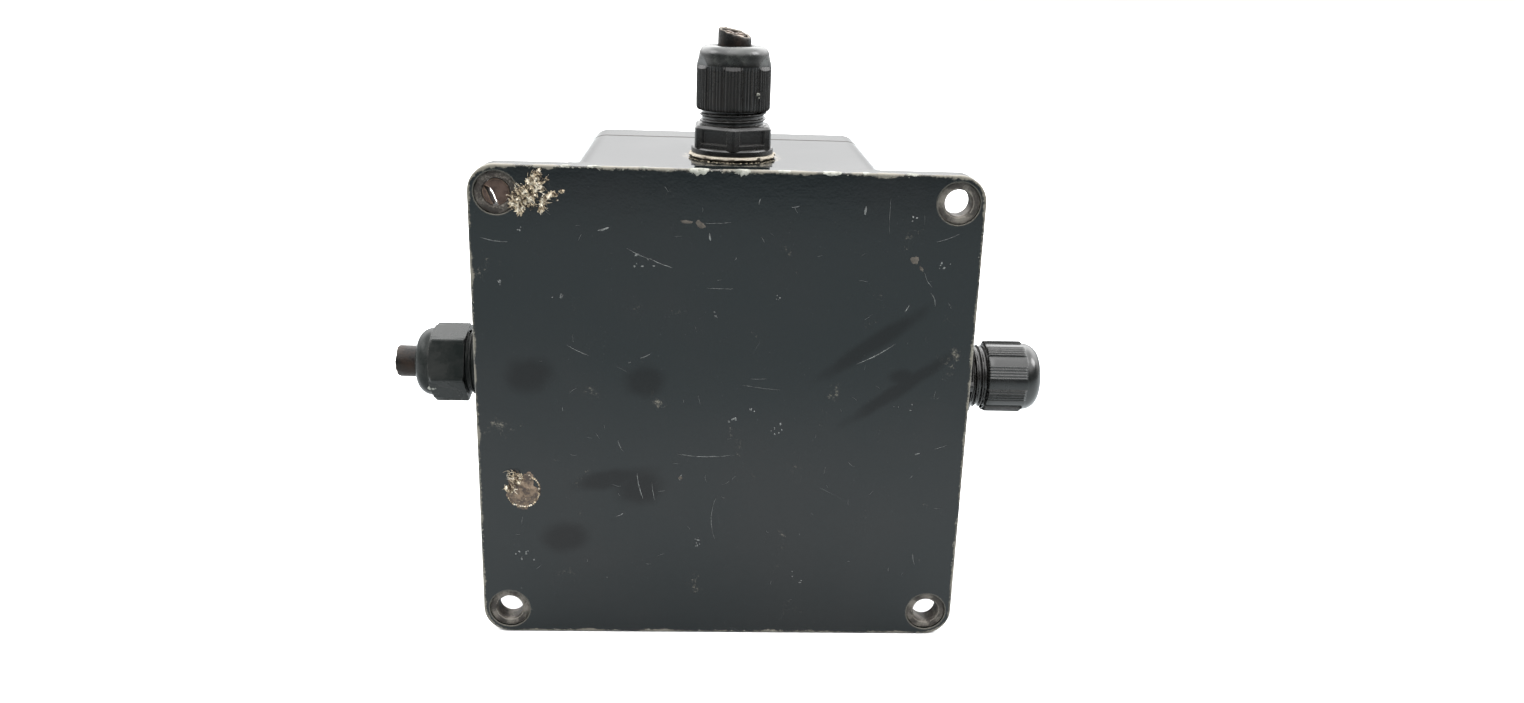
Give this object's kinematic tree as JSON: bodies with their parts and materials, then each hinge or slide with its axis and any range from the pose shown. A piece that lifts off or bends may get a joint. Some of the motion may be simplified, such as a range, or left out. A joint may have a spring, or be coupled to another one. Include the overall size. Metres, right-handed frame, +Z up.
{
  "type": "rotary isolator switch",
  "caption": "Enclosed rotary isolator with a square cut-corner box, wall bolt bushes, padlockable lid handle, stacked rotary contacts and cable glands.",
  "frame": {"origin": "centre of the square mounting flange's back face", "axes": "+Z up the wall; +Y out of the mounting face, into the wall, so the lid and handle face -Y; +X to the right seen from the front"},
  "size_m": [0.2841, 0.168, 0.2531],
  "materials": {
    "grp_moulding": "glossy glass-filled polyester",
    "bush_steel": "plated steel, tarnished",
    "screw_steel": "zinc plated",
    "panel_steel": "zinc plated sheet",
    "shaft_steel": "turned",
    "spring_steel": "blued strip",
    "brass": "machined",
    "copper": "rolled copper, silvered at the contact faces",
    "deck_moulding": "brown phenolic moulding",
    "rotor_moulding": "cream melamine moulding",
    "acetal": "natural acetal",
    "gasket_rubber": "black sponge rubber",
    "seal_rubber": "black nitrile",
    "gland_nylon": "black nylon",
    "fibre": "tan vulcanised fibre",
    "cable_rubber": "weathered black rubber",
    "core_insulation": "wire insulation",
    "dial_aluminium": "satin anodised",
    "knob_plastic": "black",
    "pointer_white": "white"
  },
  "bodies": {
    "enclosure": {"enclosure_base": "grp_moulding", "mount_bushes": "bush_steel", "lid_gasket": "gasket_rubber", "lid_inserts": "brass", "mounting_plate": "panel_steel", "mounting_plate_screws": "screw_steel", "earth_bar": "brass", "earth_screws": "screw_steel", "switch_base": "deck_moulding", "switch_base_screws": "screw_steel", "rear_deck": "deck_moulding", "middle_deck": "deck_moulding", "front_deck": "deck_moulding", "fixed_contacts": "copper", "terminal_washers": "screw_steel", "terminal_screws": "screw_steel", "detent_housing": "deck_moulding", "detent_springs": "spring_steel", "switch_cap_plate": "panel_steel", "tie_bolts": "screw_steel", "gland_locknuts": "gland_nylon", "cable_cores": "core_insulation", "cable_conductors": "copper", "top_gland_body": "gland_nylon", "top_gland_washer": "fibre", "top_gland_seal": "seal_rubber", "left_gland_body": "gland_nylon", "left_gland_washer": "fibre", "left_gland_seal": "seal_rubber", "right_gland_body": "gland_nylon", "right_gland_washer": "fibre", "right_gland_seal": "seal_rubber", "top_cable_sheath": "cable_rubber", "right_cable_sheath": "cable_rubber"},
    "lid": {"enclosure_lid": "grp_moulding", "lid_screws": "screw_steel", "screw_retainers": "acetal", "spindle_bush": "brass", "spindle_seal": "seal_rubber", "bush_nut": "brass", "dial_plate": "dial_aluminium", "dial_rivets": "screw_steel"},
    "handle": {"handle_knob": "knob_plastic", "handle_pointer": "pointer_white", "handle_screw": "screw_steel", "spindle": "shaft_steel", "spindle_clip": "spring_steel", "coupler": "acetal", "coupler_pin": "shaft_steel"},
    "padlock_bar": {"lock_bar": "panel_steel"},
    "rotor": {"switch_shaft": "shaft_steel", "contact_rotors": "rotor_moulding", "bridge_contacts": "copper", "detent_wheel": "acetal"},
    "top_ring": {"top_gland_pressure_ring": "acetal"},
    "top_nut": {"top_gland_cap_nut": "gland_nylon"},
    "left_ring": {"left_gland_pressure_ring": "acetal"},
    "left_nut": {"left_gland_cap_nut": "gland_nylon"},
    "right_ring": {"right_gland_pressure_ring": "acetal"},
    "right_nut": {"right_gland_cap_nut": "gland_nylon"}
  },
  "joints": [
    {"name": "lid_lift", "type": "slide", "parent": "enclosure", "child": "lid", "axis": [0, -1, 0], "range_m": [0, 0.08]},
    {"name": "handle_turn", "type": "hinge", "parent": "lid", "child": "handle", "pos_m": [0, -0.13, 0], "axis": [0, 1, 0], "range_deg": [0, 90], "stiffness_Nm_per_rad": 0.02},
    {"name": "padlock_bar_slide", "type": "slide", "parent": "handle", "child": "padlock_bar", "axis": [0, 0, 1], "range_m": [0, 0.02]},
    {"name": "rotor_turn", "type": "hinge", "parent": "enclosure", "child": "rotor", "pos_m": [0, -0.05, 0], "axis": [0, 1, 0], "range_deg": [0, 90], "deforming": ["detent_springs"]},
    {"name": "top_ring_slide", "type": "slide", "parent": "enclosure", "child": "top_ring", "axis": [0, 0, 1], "range_m": [0, 0.0075]},
    {"name": "top_nut_turn", "type": "hinge", "parent": "top_ring", "child": "top_nut", "pos_m": [-0.0016, -0.048, 0.099], "axis": [0, 0, 1], "range_deg": [0, 1080]},
    {"name": "left_ring_slide", "type": "slide", "parent": "enclosure", "child": "left_ring", "axis": [-1, 0, 0], "range_m": [0, 0.0075]},
    {"name": "left_nut_turn", "type": "hinge", "parent": "left_ring", "child": "left_nut", "pos_m": [-0.099, -0.048, 0.003], "axis": [-1, 0, 0], "range_deg": [0, 1080]},
    {"name": "right_ring_slide", "type": "slide", "parent": "enclosure", "child": "right_ring", "axis": [1, 0, 0], "range_m": [0, 0.005]},
    {"name": "right_nut_turn", "type": "hinge", "parent": "right_ring", "child": "right_nut", "pos_m": [0.099, -0.048, 0.0053], "axis": [1, 0, 0], "range_deg": [0, 720]}
  ],
  "couplings": [
    {"joint": "rotor_turn", "follows": "handle_turn", "ratio": 1},
    {"joint": "top_nut_turn", "follows": "top_ring_slide", "rad_per_m": 2513.3},
    {"joint": "left_nut_turn", "follows": "left_ring_slide", "rad_per_m": 2513.3},
    {"joint": "right_nut_turn", "follows": "right_ring_slide", "rad_per_m": 2513.3}
  ]
}
